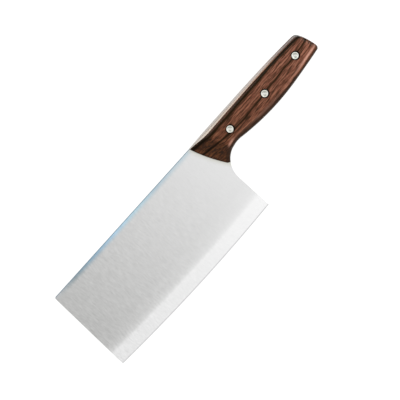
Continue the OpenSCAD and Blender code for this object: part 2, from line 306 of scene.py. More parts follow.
def makeCamera():
    tilt = math.radians(camera["tilt"])
    turn = math.radians(camera["turn"])
    spineward = Vector((0, math.cos(tilt), -math.sin(tilt)))
    back = Vector((0, math.sin(tilt), math.cos(tilt)))
    right = math.cos(turn) * Vector((1, 0, 0)) - math.sin(turn) * spineward
    up = math.sin(turn) * Vector((1, 0, 0)) + math.cos(turn) * spineward
    lens = bpy.data.cameras.new("camera")
    lens.sensor_width = camera["sensor"]
    lens.lens = camera["sensor"] * camera["distance"] / camera["across"]
    lens.clip_start = 0.05
    lens.clip_end = 50
    made = bpy.data.objects.new("camera", lens)
    made.matrix_world = Matrix.Translation(Vector(camera["target"]) + back * camera["distance"]) @ \
        Matrix((right, up, back)).transposed().to_4x4()
    bpy.context.scene.collection.objects.link(made)
    bpy.context.scene.camera = made


makeCamera()
print("camera made")


# studio, in metres
studio = {
    "background": "ffffff",
    "fill": 0.42,  # world's light on what is matt
    "floorColour": "a6a6a4",
    "floorSize": 8.0,
    "floorLift": 0.86,  # what brings the lit floor up to the background's white
    # name: place, watts, size
    "lamps": {
        "spineSide": ((-0.2, 1.75, 1.75), 26.0, 1.2),
        "handleSide": ((1.25, -0.25, 1.25), 15.0, 0.9),
    },
}


def seenBy(add, *rays):
    # 1 for these kinds of ray and 0 for the rest
    path = add("LightPath")
    seen = path.outputs[rays[0]]
    for kind in rays[1:]:
        seen = add("Math", "MAXIMUM", {0: seen, 1: path.outputs[kind]})
    return seen


def makeStudio():
    world = bpy.data.worlds.new("studio")
    bpy.context.scene.world = world
    add = emptyTree(world)
    shownTo = seenBy(add, "Is Camera Ray", "Is Glossy Ray", "Is Transmission Ray")
    fill = add("Background", inputs={"Color": srgb("ffffff"), "Strength": studio["fill"]})
    shown = add("Background", inputs={"Color": srgb(studio["background"]), "Strength": 1.0})
    mix = add("MixShader", inputs={0: shownTo, 1: fill, 2: shown})
    add("OutputWorld", inputs={"Surface": mix})

    # white studio board: the lit board keeps the shadow, and the lift only whitens what is seen of it
    material, add = newMaterial("matt white studio board")
    board = add("BsdfDiffuse", inputs={"Color": srgb(studio["floorColour"]), "Roughness": 1.0})
    strength = add("Math", "MULTIPLY", {
        0: seenBy(add, "Is Camera Ray", "Is Glossy Ray"), 1: studio["floorLift"]})
    lift = add("Emission", inputs={"Color": srgb("ffffff"), "Strength": strength})
    both = add("AddShader", inputs={0: board, 1: lift})
    add("OutputMaterial", inputs={"Surface": both})

    half = studio["floorSize"] / 2
    floor = newPiece("floor", [(-half, -half, 0), (half, -half, 0), (half, half, 0), (-half, half, 0)],
                     [(0, 1, 2, 3)], material)

    for name, (spot, watts, size) in studio["lamps"].items():
        light = bpy.data.lights.new(name, "AREA")
        light.shape = "DISK"
        light.energy = watts
        light.size = size
        lamp = bpy.data.objects.new(name, light)
        lamp.location = spot
        lamp.rotation_euler = Vector(spot).to_track_quat("Z", "Y").to_euler()
        bpy.context.scene.collection.objects.link(lamp)

    view = bpy.context.scene.view_settings
    view.view_transform = "Standard"


makeStudio()
print("studio made")


# blade
bladeFinish = {
    "cheek": ("b4b4b3", "d5d5d5"),  # at the front and at the heel: painted light, darker at the front and brighter toward the heel
    # the bevel's colours: a painted reflection that makes it brighter than the cheek, also brighter toward
    # the heel
    "bevel": ("dedede", "e9e9e9"),
    "hone": "cfcfd0",
    "lightGradientFrom": 4.0,  # place in mm from which the painted light brightens the cheek and the bevel toward the heel
    "borderReach": (14.0, 3.0),  # before the cheek's border with the bevel and past it, in mm
    # how far the cheek has turned into the bevel over that reach
    "softBorder": [(0.0, 0.0), (0.16, 0.06), (0.55, 0.17), (0.75, 0.42), (0.86, 0.8), (0.95, 1.0),
                   (1.0, 1.0)],
    "honeReach": (0.25, 0.1),  # the same at the honed edge's border
    # painted shadow and reflection of the dark wood on the steel beside it
    "besideWood": "c4c3ba",
    "woodShadeReach": (4.6, 1.2),  # ahead of the wood and behind its front line
    "blueReach": (5.6, 0.6),  # below the spine and past it
    # painted blue reflection along the spine: place in mm and colour
    "spineTint": [(6.0, "b4b6b7"), (27.0, "84959c"), (52.0, "88a6ba"), (76.0, "a4c4d9"), (101.0, "acc8d3"),
                  (126.0, "a6bac5"), (146.0, "b4c3ca")],
    # painted blue reflection on the narrow spine face
    "spineFace": "5a7286",
    "spineFacing": (0.1, 0.5),  # how far a face turns to the spine's side, from none of its colour to all
    "tangEdge": "9c9791",
    "tangFade": 1.0,
    "roughness": 0.3,
    "roughnessSpread": 0.12,
    "anisotropy": 0.55,
    "bump": (0.25, 0.03),  # strength, and depth in mm
    # mm across a line, along it and through the steel; real belt lines are about 0.1 mm: drawn coarser
    # so that they show
    "brush": (0.68, 6.0, 5.0),
    "brushContrast": 0.7,
    "brushDepth": (1.95, 0.12),  # at the front and at the heel
    "bevelFaint": 0.3,
    "streak": (5.0, 50.0, 5.0),
    "streakContrast": 0.05,
    "easedEdge": 0.08,
    "easedFrom": 25,  # degrees between two faces
    "creaseFrom": (0.4, 30),  # degrees, on the cheeks and elsewhere
}


def brushedStainlessSteel():
    # stainless blade steel, belt-ground across: a satin sheen, broken by fine lines from spine to edge
    material, add = newMaterial("brushed stainless steel")
    given = bladeFinish
    point, (alongX, downY, _), coords = outlinePoint(add)
    lines = add("Mapping", inputs={"Vector": point, "Scale": [1 / size for size in given["brush"]]})
    fine = add("TexNoise", inputs={"Vector": lines, "Scale": 1.0, "Detail": 4.0, "Roughness": 1.0})
    streakMap = add("Mapping", inputs={"Vector": point, "Scale": [1 / size for size in given["streak"]]})
    streaks = add("TexNoise", inputs={"Vector": streakMap, "Scale": 1.0, "Detail": 2.0, "Roughness": 0.5})
    fineTone = add("Math", "MULTIPLY_ADD", {
        0: fine, 1: given["brushContrast"], 2: 1 - given["brushContrast"] / 2})
    brushed = add("Math", "MULTIPLY_ADD", {0: streaks, 1: given["streakContrast"], 2: fineTone})
    uneven = add("Math", "SUBTRACT", {0: brushed, 1: 1 + given["streakContrast"] / 2})

    # painted light: both grounds brighten toward the heel, and the bevel is painted brighter as a reflection
    along = add("MapRange", inputs={"Value": alongX, "From Min": given["lightGradientFrom"], "From Max": heelX})
    cheek, ground = (add("Mix", ofColours, {
        0: along, 6: srgb(given[part][0]), 7: srgb(given[part][1])}) for part in ("cheek", "bevel"))
    reach = farFrom(add, point, edgeCentre)
    border = edgeRadius - knife["bevelWidth"]
    crossing = add("MapRange", inputs={
        "Value": reach, "From Min": border - given["borderReach"][0],
        "From Max": border + given["borderReach"][1]})
    onBevel = add("FloatCurve", inputs={"Value": crossing}, points=given["softBorder"])
    twoTone = add("Mix", ofColours, {0: onBevel, 6: cheek, 7: ground})
    honed = edgeRadius - knife["honeWidth"]
    onHone = add("MapRange", softly, {
        "Value": reach, "From Min": honed - given["honeReach"][0],
        "From Max": honed + given["honeReach"][1]})
    steel = add("Mix", ofColours, {0: onHone, 6: twoTone, 7: srgb(given["hone"])})

    # painted shadow and reflection of the dark wood on the steel beside its front
    nearWood = add("MapRange", softly, {
        "Value": farFrom(add, point, frontCentre),
        "From Min": frontRadius + given["woodShadeReach"][0], "From Max": frontRadius - given["woodShadeReach"][1]})

    # painted blue reflection along the spine and on its narrow face; the tang's edge in the handle is plain
    # steel
    nearSpine = add("MapRange", {"interpolation_type": "SMOOTHERSTEP"}, {
        "Value": downY, "From Min": -given["blueReach"][0], "From Max": given["blueReach"][1]})
    hotAlong = add("MapRange", inputs={"Value": alongX, "From Max": heelX})
    spineBlue = add("ValToRGB", inputs={"Fac": hotAlong},
               stops=[(x / heelX, colour) for x, colour in given["spineTint"]])
    blueTinted = add("Mix", ofColours, {0: nearSpine, 6: steel, 7: spineBlue})
    woodShaded = add("Mix", ofColours, {0: nearWood, 6: blueTinted, 7: srgb(given["besideWood"])})
    facing = add("SeparateXYZ", inputs={0: coords.outputs["Normal"]})
    onSpine = add("MapRange", softly, {
        "Value": facing.outputs["Y"],
        "From Min": given["spineFacing"][0], "From Max": given["spineFacing"][1]})
    inHandle = add("MapRange", inputs={
        "Value": alongX, "From Min": woodFront, "From Max": woodFront + given["tangFade"]})
    narrow = add("Mix", ofColours, {0: inHandle, 6: srgb(given["spineFace"]), 7: srgb(given["tangEdge"])})
    whole = add("Mix", ofColours, {0: onSpine, 6: woodShaded, 7: narrow})
    # the lines are deepest at the front, and fainter on the bevel
    deepness = add("MapRange", inputs={
        "Value": alongX, "From Max": heelX,
        "To Min": given["brushDepth"][0], "To Max": given["brushDepth"][1]})
    fainter = add("Math", "MULTIPLY_ADD", {0: onBevel, 1: -given["bevelFaint"], 2: 1.0})
    deep = add("Math", "MULTIPLY", {0: deepness, 1: fainter})
    spread = add("Math", "MULTIPLY_ADD", {0: uneven, 1: deep, 2: 1.0})
    colour = add("VectorMath", "SCALE", {0: whole, "Scale": spread})

    rough = add("Math", "MULTIPLY_ADD", {
        0: fine, 1: given["roughnessSpread"], 2: given["roughness"] - given["roughnessSpread"] / 2})
    bump = add("Bump", inputs={
        "Strength": given["bump"][0], "Distance": given["bump"][1] * mm, "Height": fine})
    grain = add("Tangent", {"direction_type": "RADIAL", "axis": "X"})
    shader = add("BsdfPrincipled", inputs={
        "Base Color": colour, "Metallic": 1.0, "Roughness": rough,
        "Anisotropic": given["anisotropy"], "Anisotropic Rotation": 0.25,
        "Tangent": grain, "Normal": bump})
    add("OutputMaterial", inputs={"Surface": shader})
    return material


def makeBlade():
    # the steel's own edges are eased a little, as a belt leaves them
    given = bladeFinish
    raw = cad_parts["blade"].data.copy()
    body = bmesh.new()
    body.from_mesh(raw)
    bmesh.ops.remove_doubles(body, verts=body.verts, dist=1e-6)
    bmesh.ops.dissolve_limit(body, angle_limit=0.0005, verts=body.verts, edges=body.edges)
    for edge in body.edges:
        onCheek = min(abs(face.normal.z) for face in edge.link_faces) > 0.5
        edge.smooth = edge.calc_face_angle(0) < math.radians(given["creaseFrom"][0 if onCheek else 1])
    body.to_mesh(raw)
    body.free()
    raw.materials.clear()
    raw.materials.append(brushedStainlessSteel())
    raw.polygons.foreach_set("use_smooth", [True] * len(raw.polygons))
    piece = bpy.data.objects.new("bladeAndTang", raw)
    bpy.context.scene.collection.objects.link(piece)
    bevel = piece.modifiers.new("easedEdges", "BEVEL")
    bevel.width = given["easedEdge"] * mm
    bevel.segments = 2
    bevel.limit_method = "ANGLE"
    bevel.angle_limit = math.radians(given["easedFrom"])
    flatten = piece.modifiers.new("flatCheeks", "WEIGHTED_NORMAL")
    flatten.keep_sharp = True
    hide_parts("blade")
    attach(piece, "root")


makeBlade()
print("blade made")


# rivets
rivet = {
    "reach": 24.2,  # from the heel to the front rivet
    "inset": 18.3,  # from the butt to the rear one
    "middleShare": 0.505,  # where the middle one lies between them
    "depths": {"front": 12.4, "middle": 14.0, "rear": 11.7},
    "headWidth": 6.3,
    "headHeight": 1.6,
    "tubeWidth": 4.6,
    "postWidth": 3.2,
    "postGap": 0.03,
    "tubeGap": 0.1,
    "headGap": 0.1,
    # the seat's bevelled mouth: how far out from its wall, and height against the wood's face
    "mouth": [(0.0, -0.5), (0.12, -0.31), (0.279, -0.14), (0.45, 0.02)],
    "cutPast": (0.5, 1.5),  # how far the seat's cutter goes past the tang's middle and the wood's face
    "dimpleWidth": 4.3,
    "dimpleDepth": 0.15,
    "dimpleSoft": (0.15, 0.35),  # how far its wall reaches outward and inward
    "dentDepth": 0.05,
    "dentsPerMm": 1.1,
    "dentSoft": 0.5,
    "dentStep": 7.3,  # takes each head to dents of its own
    "crownDrop": 0.03,
    "crownMiddle": 2.3,  # radius where the ring round the dimple is highest
    "crownWidth": 0.9,
    "crownFrom": 1.6,
    "rimRadius": 0.28,
    "endGap": 0.6,
    "around": 96,
    "faceSteps": 26,
    "rimSteps": 6,
    "metal": "f6f6ec",
    "dimpleMetal": ("d0d0cb", "a0a39a"),  # along the middle of the punch mark and beside it
    "dullWidth": 4.9,
    "dullSoft": (0.15, 0.25),
    "wedgeReach": (0.9, 2.5),  # beside the punch mark's middle line: where it starts and ends to darken
    "wedgeWander": 2.0,
    "wedgeTurn": 45,  # degrees from the knife's length
    "roughness": (0.2, 0.22),  # of the rim, and what the dull dimple adds
    "marksPerMm": 1.1,
    "linesPerMm": 9.0,
    "lineBump": (0.2, 0.02),  # strength, and depth in mm
    # painted shade on the head's rounded rim, in the gap round it
    "rimShade": "17130c",
    "rimShadeReach": (0.42, 0.12),  # in from the head's outline: where it starts and is full
}
frontRivetX = heelX + rivet["reach"]
rearRivetX = knife["length"] - rivet["inset"]
rivetSpots = {
    "front": (frontRivetX, -rivet["depths"]["front"]),
    "middle": (frontRivetX + rivet["middleShare"] * (rearRivetX - frontRivetX), -rivet["depths"]["middle"]),
    "rear": (rearRivetX, -rivet["depths"]["rear"]),
}


def turnedAluminium():
    # turned aluminium rivets: a bright polished rim, and a dull dimple that the setting punch left
    material, add = newMaterial("turned aluminium")
    given = rivet
    away = add("Attribute", {"attribute_type": "GEOMETRY", "attribute_name": "fromAxis"})
    dull = add("MapRange", softly, {
        "Value": away.outputs["Fac"], "From Min": given["dullWidth"] / 2 + given["dullSoft"][0],
        "From Max": given["dullWidth"] / 2 - given["dullSoft"][1]})
    coords = add("TexCoord")
    toMm = add("VectorMath", "SCALE", {0: coords.outputs["Object"], "Scale": 1 / mm})
    marks = add("TexNoise", inputs={
        "Vector": toMm, "Scale": given["marksPerMm"], "Detail": 3.0, "Roughness": 0.55})
    # the punch was ground to a blunt wedge, so the middle of its mark is lighter than its two sides
    side = add("Attribute", {"attribute_type": "GEOMETRY", "attribute_name": "fromWedge"})
    beside = add("Math", "ABSOLUTE", {0: side.outputs["Fac"]})
    uneven = add("Math", "MULTIPLY_ADD", {0: marks, 1: given["wedgeWander"], 2: beside})
    darker = add("MapRange", softly, {
        "Value": uneven, "From Min": given["wedgeReach"][0], "From Max": given["wedgeReach"][1]})
    mottle = add("Mix", ofColours, {
        0: darker, 6: srgb(given["dimpleMetal"][0]), 7: srgb(given["dimpleMetal"][1])})
    rings = add("TexNoise", {"noise_dimensions": "1D"}, {
        "W": away.outputs["Fac"], "Scale": given["linesPerMm"], "Detail": 2.0})
    colour = add("Mix", ofColours, {0: dull, 6: srgb(given["metal"]), 7: mottle})
    # painted shade on the head's rim, where it meets the gap in the wood
    rim = add("MapRange", softly, {
        "Value": away.outputs["Fac"], "From Min": given["headWidth"] / 2 - given["rimShadeReach"][0],
        "From Max": given["headWidth"] / 2 - given["rimShadeReach"][1]})
    rimShaded = add("Mix", ofColours, {0: rim, 6: colour, 7: srgb(given["rimShade"])})
    rimRough, dimpleRough = given["roughness"]
    rough = add("Math", "MULTIPLY_ADD", {0: dull, 1: dimpleRough, 2: rimRough})
    bump = add("Bump", inputs={
        "Strength": given["lineBump"][0], "Distance": given["lineBump"][1] * mm, "Height": rings})
    shader = add("BsdfPrincipled", inputs={
        "Base Color": rimShaded, "Metallic": 1.0, "Roughness": rough, "Normal": bump})
    add("OutputMaterial", inputs={"Surface": shader})
    return material


def lathe(name, profile, spot, material, dented=False, seed=0):
    # profile is radius and height in mm, from the axis round and back to the axis
    verts, starts, fromAxis, fromWedge = [], [], [], []
    around, dimple, perMm = rivet["around"], rivet["dimpleWidth"] / 2, rivet["dentsPerMm"]
    for r, z in profile:
        starts.append(len(verts))
        for i in range(1 if r == 0 else around):
            a = 2 * math.pi * i / around
            x, y = r * math.cos(a), r * math.sin(a)
            drop = 0.0
            if dented and abs(z) > handleHalf - rivet["headHeight"]:
                bumps = noise.noise(Vector((x * perMm, y * perMm, seed * rivet["dentStep"])))
                drop = rivet["dentDepth"] * bumps * blendSteps(dimple, dimple - rivet["dentSoft"], r)
            verts.append(place(spot[0] + x, spot[1] + y, z + drop))
            fromAxis.append(r)
            fromWedge.append(r * math.cos(a - math.radians(rivet["wedgeTurn"])))
    faces = []
    for k in range(len(profile) - 1):
        a, b = starts[k], starts[k + 1]
        for i in range(around):
            j = (i + 1) % around
            if profile[k][0] == 0:
                faces.append((a, b + j, b + i))
            elif profile[k + 1][0] == 0:
                faces.append((a + i, a + j, b))
            else:
                faces.append((a + i, a + j, b + j, b + i))
    piece = newPiece(name, verts, faces, material, sharpAt=40)
    for label, values in (("fromAxis", fromAxis), ("fromWedge", fromWedge)):
        piece.data.attributes.new(label, "FLOAT", "POINT").data.foreach_set("value", values)
    return piece


def headProfile():
    # the head's face from the axis out: dimple, faintly crowned ring, rounded rim
    given = rivet
    rimStart = given["headWidth"] / 2 - given["rimRadius"]
    profile, wall = [], given["dimpleWidth"] / 2
    for k in range(given["faceSteps"] + 1):
        r = rimStart * k / given["faceSteps"]
        dimple = given["dimpleDepth"] * blendSteps(
            wall + given["dimpleSoft"][0], wall - given["dimpleSoft"][1], r)
        crown = ((r - given["crownMiddle"]) / given["crownWidth"]) ** 2 if r > given["crownFrom"] else 0.0
        profile.append((r, handleHalf - dimple - given["crownDrop"] * min(crown, 1.0)))
    edgeZ = profile[-1][1]
    for k in range(1, given["rimSteps"] + 1):
        a = math.radians(90 * k / given["rimSteps"])
        profile.append((rimStart + given["rimRadius"] * math.sin(a),
                        edgeZ - given["rimRadius"] * (1 - math.cos(a))))
    profile.append((given["headWidth"] / 2, handleHalf - given["headHeight"]))
    return profile


def makeRivets():
    material = turnedAluminium()
    given = rivet
    head, underHead = headProfile(), handleHalf - given["headHeight"]
    end = given["endGap"] - underHead
    core, tube = given["postWidth"] / 2, given["tubeWidth"] / 2
    bore = core + given["postGap"]
    post = head + [(core, underHead), (core, end), (0, end)]
    socket = head + [(tube, underHead), (tube, end), (bore, end), (bore, underHead), (0, underHead)]
    socket = [(r, -z) for r, z in socket]
    for n, (name, spot) in enumerate(rivetSpots.items()):
        male = lathe(name + "RivetPost", post, spot, material, dented=True, seed=n + 1)
        female = lathe(name + "RivetSocket", socket, spot, material, dented=True, seed=n + 5)
        for piece, node in ((male, f"rivet_{name}_post"), (female, f"rivet_{name}_socket")):
            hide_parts(node)
            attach(piece, "root")


makeRivets()
print("rivets made")


# wooden scales
scale = {
    "frontThickness": 1.2,
    "rampTop": 13.6,
    "rampLow": 13.6,
    "rampHollow": 1.3,
    "rampBlend": (4.0, 0.6),  # softness of the ramp's end, at the spine and at the underside
    "topRound": 5.0,
    "topRoundRear": 2.5,
    "lowRound": 4.2,
    "lowRise": 4.2,
    "buttRise": 1.8,
    "roundShare": 0.65,
    "jointEase": 0.12,
    "frontEase": 0.3,
    "frontEaseReach": 0.05,  # in lengths of the ramp
    "waviness": 0.035,
    "waveLength": (26, 9),  # along and across the handle
    "waveAbove": 3,  # height over the steel
    "waveStep": 11.0,  # takes each scale to waves of its own
    "rampSteps": 44,
    "rampStations": 1.6,  # how far they reach, in lengths of the ramp
    "gripSteps": 150,
    "buttSteps": 14,
    "roundSteps": 12,
    "faceSteps": 34,
}
woodFinish = {
    "tones": [(0.45, "412815"), (0.55, "7a4938"), (0.63, "9a6651")],  # shade of the grain and colour
    "vein": "1f1604",
    "pore": "221503",
    "poresPerMm": (0.08, 1.3, 1.3),
    "poreEdge": (0.36, 0.12),
    "poreStrength": 0.3,
    "stainAndShade": "bfb99e",  # what the staining and the painted shade leave of the colour on the roundings and the ramp
    "stainAndShadeFacing": (0.992, 0.92),  # how far a face looks outward, from none of this darkening to all of it
    "frontShadeReach": 100.0,  # behind the wood's start
    # painted shade, darker toward the wood's front end: share of that reach, and what it leaves of the colour
    "frontShadeTones": [(0.06, "c8c2a4"), (0.2, "dcd7c4"), (0.32, "e4e0d4"), (0.45, "e6e2d8"), (0.6, "efece6"),
                   (0.88, "ffffff")],
    # painted highlight on the rounded edges along the top: place in mm and colour
    "highlightEdge": [(168, "e6dfd6"), (185, "ecdfd2"), (200, "ebdccd"), (228, "f2dbca"), (257, "deb498"),
                 (273, "8e6248"), (291, "53311c")],
    # painted highlight on the sides next to the tang: place in mm and colour
    "highlightSide": [(168, "b8a288"), (185, "b0987a"), (200, "ae9478"), (228, "b49274"), (257, "b08262"),
                     (273, "7a4c30"), (291, "4a2a14")],
    "polishFacing": (0.93, 0.99),  # how far a face looks upward, from no polish to full polish
    "polish": [(160, 1.0), (235, 1.0), (256, 0.6), (270, 0.15), (285, 0.0), (300, 0.0)],  # place, share
    "sideGloss": 0.85,
    "sideRoughness": 0.14,
    "sideGrain": 0.35,
    # painted highlight along the start of the lower rounding
    "lowEdgeHighlight": "cf9a86",
    # painted shadow round the rivets
    "ring": "080401",
    "ringReach": 4.0,
    "ringShift": (0.3, -0.2),  # how far its middle lies behind and below the rivet's
    "ringSoft": 0.35,
    "ringStrength": 0.9,
    # the darker underside: partly staining, partly painted shade
    "under": "2c190b",
    "underSoft": (0.8, 0.7),
    "underStrength": 0.8,
    # how high the dark underside reaches: place and height in mm
    "underReach": [(160, 3.9), (185, 3.7), (199, 3.8), (212, 4.5), (228, 4.8), (243, 4.2), (257, 3.2),
                   (273, 2.2), (291, 1.7), (300, 1.5)],
    # how strong the painted highlight along the lower rounding is: place in mm and share
    "lowHighlight": [(160, 0.0), (188, 0.0), (194, 0.6), (199, 0.1), (215, 0.05), (228, 0.15), (258, 0.12),
             (272, 0.3), (281, 0.7), (291, 0.9), (297, 0.5), (300, 0.2)],
    "lowHighlightHeights": (2.9, 4.2, 4.4, 6.0),  # above the underside: from none to full, from full to none
    # which faces along the top get the painted highlight: place in mm, and how far upward they turn
    "highlitTop": ((180.0, 0.71), (290.0, 0.97)),
    "highlitTopSoft": 0.07,
    "highlitTopStrength": 0.95,
    "cutFrom": (8.7, 16.9, 0.6),  # where in the plank the scales were cut: another place shows other streaks
    "wander": 2.4,  # how far the grain strays sideways in all
    "wanderPerMm": (0.035, 0.09, 0.09),
    # layers of the grain: waves for each mm lengthwise, spacing in mm, detail and roughness
    "bands": (0.012, 4.2, 2.0, 0.5),
    "streaks": (0.03, 1.6, 3.0, 0.65),
    "fibres": (0.1, 1.0, 2.0, 0.6),  # real fibres are about 0.1 mm: drawn coarser so that they show
    "layerShares": (0.12, 0.32, 0.78),  # of these three in the tone
    "inwardRate": 0.6,  # how fast they change into the wood, against across it
    "ringLine": (0.045, 0.5),  # width, as a share of the streaks' height, and strength
    "ior": 1.45,
    "specular": (0.02, 0.14),  # in the veins and on the rest
    "roughness": 0.4,
    "varnish": 0.05,
    "varnishRoughness": 0.2,
    "bumps": (0.35, 0.12),  # in the wood and in the varnish
    "bumpDepth": 0.08,
    # a curve holds 0 to 1, so places go in as shares of this stretch, depths and heights of the next two
    "stretch": (160.0, 300.0),
    "deepest": 30.0,
    "highest": 10.0,
    "veinWidths": (3.0, 2.0),  # the top one's and the middle one's
    "veinStrengths": (1.0, 0.95),
    "veinJitter": 0.8,
    # how far the grain follows the middle vein at two depths; it is straight where the vein is at the second
    "follow": ((3.0, 0.3), (13.0, 1.0)),
    # places along the handle and depths below the spine line, in mm
    # a dark line just under the top rounding: partly a vein, partly painted shade of the rounding
    "topDarkLine": [(165, -2.4), (179, -3.3), (185, -4.0), (199, -3.9), (219, -3.6), (229, -3.3), (239, -3.0),
                (249, -2.6), (257, -2.3), (273, -2.3), (283, -2.6), (291, -3.2), (300, -3.4)],
    "midVein": [(165, -11.0), (178, -12.2), (186, -12.9), (193, -14.0), (208, -15.2), (218, -15.2),
                (228, -14.5), (237, -14.3), (249, -13.1), (258, -12.7), (267, -12.0), (276, -11.8),
                (287, -10.9), (295, -9.8), (300, -8.0)],
}


def varnishedRosewood():
    # oiled and varnished rosewood: red-brown with dark lengthwise veins, fine open pores and a satin gloss
    material, add = newMaterial("varnished rosewood")
    given = woodFinish
    point, (alongX, downY, acrossZ), coords = outlinePoint(add)
    start, end = given["stretch"]
    along = add("MapRange", inputs={"Value": alongX, "From Min": start, "From Max": end})

    def shares(line):
        return [((x - start) / (end - start), value) for x, value in line]

    def curveAlong(line):
        return add("FloatCurve", inputs={"Value": along}, points=shares(line))

    def depthAlong(line):
        # how deep below the spine line the vein runs at this place along the handle
        curve = curveAlong([(x, 1 + y / given["deepest"]) for x, y in line])
        return add("Math", "MULTIPLY_ADD", {0: curve, 1: given["deepest"], 2: -given["deepest"]})

    wander = add("Mapping", inputs={"Vector": point, "Scale": given["wanderPerMm"]})
    warp = add("TexNoise", inputs={"Vector": wander, "Scale": 1.0, "Detail": 3.0, "Roughness": 0.55})
    bend = add("Math", "MULTIPLY_ADD", {0: warp, 1: given["wander"], 2: -given["wander"] / 2})
    bent = add("Math", "ADD", {0: downY, 1: bend})

    # the whole grain follows the middle vein, less so near the spine
    midDepth = depthAlong(given["midVein"])
    (shallow, little), (deep, fully) = given["follow"]
    follow = add("MapRange", inputs={
        "Value": downY, "From Min": -shallow, "From Max": -deep, "To Min": little, "To Max": fully})
    strayed = add("Math", "ADD", {0: midDepth, 1: deep})
    shift = add("Math", "MULTIPLY", {0: strayed, 1: follow})
    grainY = add("Math", "SUBTRACT", {0: bent, 1: shift})
    grainPoint = add("CombineXYZ", inputs={0: alongX, 1: grainY, 2: acrossZ})

    def layer(lengthwise, spacing, detail, roughness):
        stretched = add("Mapping", inputs={
            "Vector": grainPoint, "Location": given["cutFrom"],
            "Scale": (lengthwise, 1 / spacing, given["inwardRate"] / spacing)})
        return add("TexNoise", inputs={
            "Vector": stretched, "Scale": 1.0, "Detail": detail, "Roughness": roughness})

    bands, streaks, fibres = (layer(*given[part]) for part in ("bands", "streaks", "fibres"))
    bandShare, streakShare, fibreShare = given["layerShares"]
    banded = add("Math", "MULTIPLY_ADD", {0: bands, 1: bandShare, 2: -bandShare / 2})
    coarse = add("Math", "MULTIPLY_ADD", {0: streaks, 1: streakShare, 2: banded})
    mixed = add("Math", "MULTIPLY_ADD", {0: fibres, 1: fibreShare, 2: coarse})
    tone = add("ValToRGB", inputs={"Fac": mixed}, stops=given["tones"])

    def veinMask(depth, width, strength):
        offset = add("Math", "SUBTRACT", {0: downY, 1: depth})
        jitter = add("Math", "MULTIPLY_ADD", {
            0: streaks, 1: given["veinJitter"], 2: -given["veinJitter"] / 2})
        moved = add("Math", "ADD", {0: offset, 1: jitter})
        away = add("Math", "ABSOLUTE", {0: moved})
        return add("MapRange", softly, {
            "Value": away, "From Min": width, "From Max": 0.0, "To Max": strength})

    # year rings show as hair-thin dark lines, where the streaks' height crosses its middle
    crossed = add("Math", "SUBTRACT", {0: streaks, 1: 0.5})
    fromRing = add("Math", "ABSOLUTE", {0: crossed})
    ringLines = add("MapRange", softly, {
        "Value": fromRing, "From Min": given["ringLine"][0], "From Max": 0.0,
        "To Max": given["ringLine"][1]})
    # the top line is partly painted shade of the top rounding
    topMask, midMask = (veinMask(*vein) for vein in zip(
        (depthAlong(given["topDarkLine"]), midDepth), given["veinWidths"], given["veinStrengths"]))
    bigVeins = add("Math", "MAXIMUM", {0: topMask, 1: midMask})
    veins = add("Math", "MAXIMUM", {0: bigVeins, 1: ringLines})
    veined = add("Mix", ofColours, {0: veins, 6: tone, 7: srgb(given["vein"])})

    poreMap = add("Mapping", inputs={"Vector": grainPoint, "Scale": given["poresPerMm"]})
    pores = add("TexVoronoi", {"feature": "F1"}, {"Vector": poreMap, "Scale": 1.0, "Randomness": 1.0})
    inPore = add("MapRange", softly, {
        "Value": pores, "From Min": given["poreEdge"][0], "From Max": given["poreEdge"][1],
        "To Max": given["poreStrength"]})
    porous = add("Mix", ofColours, {0: inPore, 6: veined, 7: srgb(given["pore"])})

    # painted shadow round the rivets, most of it behind and below them
    nearest = None
    for x, y in rivetSpots.values():
        away = farFrom(add, point, Vector((x + given["ringShift"][0], y + given["ringShift"][1])))
        nearest = away if nearest is None else add("Math", "MINIMUM", {0: nearest, 1: away})
    ringed = add("MapRange", softly, {
        "Value": nearest, "From Min": given["ringReach"] + given["ringSoft"],
        "From Max": given["ringReach"] - given["ringSoft"], "To Max": given["ringStrength"]})
    around = add("Mix", ofColours, {0: ringed, 6: porous, 7: srgb(given["ring"])})

    # the roundings and the ramp are darker, partly from more staining and partly from painted shade where
    # they turn from the light; the top's roundings and the sides next to the tang carry a painted highlight
    shape = add("SeparateXYZ", inputs={0: coords.outputs["Normal"]})
    facing = add("Math", "ABSOLUTE", {0: shape.outputs["Z"]})
    turned = add("MapRange", softly, {
        "Value": facing, "From Min": given["stainAndShadeFacing"][0], "From Max": given["stainAndShadeFacing"][1]})
    stainedAndShaded = add("Mix", darkening, {0: turned, 6: around, 7: srgb(given["stainAndShade"])})
    # painted shade, darker toward the wood's front end
    behindFront = add("MapRange", inputs={
        "Value": farFrom(add, point, frontCentre),
        "From Min": frontRadius, "From Max": frontRadius - given["frontShadeReach"]})
    frontShade = add("ValToRGB", inputs={"Fac": behindFront}, stops=given["frontShadeTones"])
    frontShaded = add("Mix", darkening, {0: 1.0, 6: stainedAndShaded, 7: frontShade})
    # painted highlight along the top: on its roundings and on the sides next to the tang
    (fore, foreTurn), (aft, aftTurn) = given["highlitTop"]
    steepest = add("MapRange", inputs={
        "Value": alongX, "From Min": fore, "From Max": aft, "To Min": foreTurn, "To Max": aftTurn})
    upward = add("Math", "SUBTRACT", {0: shape.outputs["Y"], 1: steepest})
    onTop = add("MapRange", softly, {
        "Value": upward, "From Min": -given["highlitTopSoft"], "From Max": given["highlitTopSoft"],
        "To Max": given["highlitTopStrength"]})
    onFlat = add("MapRange", softly, {
        "Value": shape.outputs["Y"],
        "From Min": given["polishFacing"][0], "From Max": given["polishFacing"][1]})
    edgeTone, sideTone = (add("ValToRGB", inputs={"Fac": along}, stops=shares(given[part]))
                          for part in ("highlightEdge", "highlightSide"))
    grained = add("Mix", ofColours, {0: given["sideGrain"], 6: sideTone, 7: tone})
    highlighted = add("Mix", ofColours, {0: onFlat, 6: edgeTone, 7: grained})

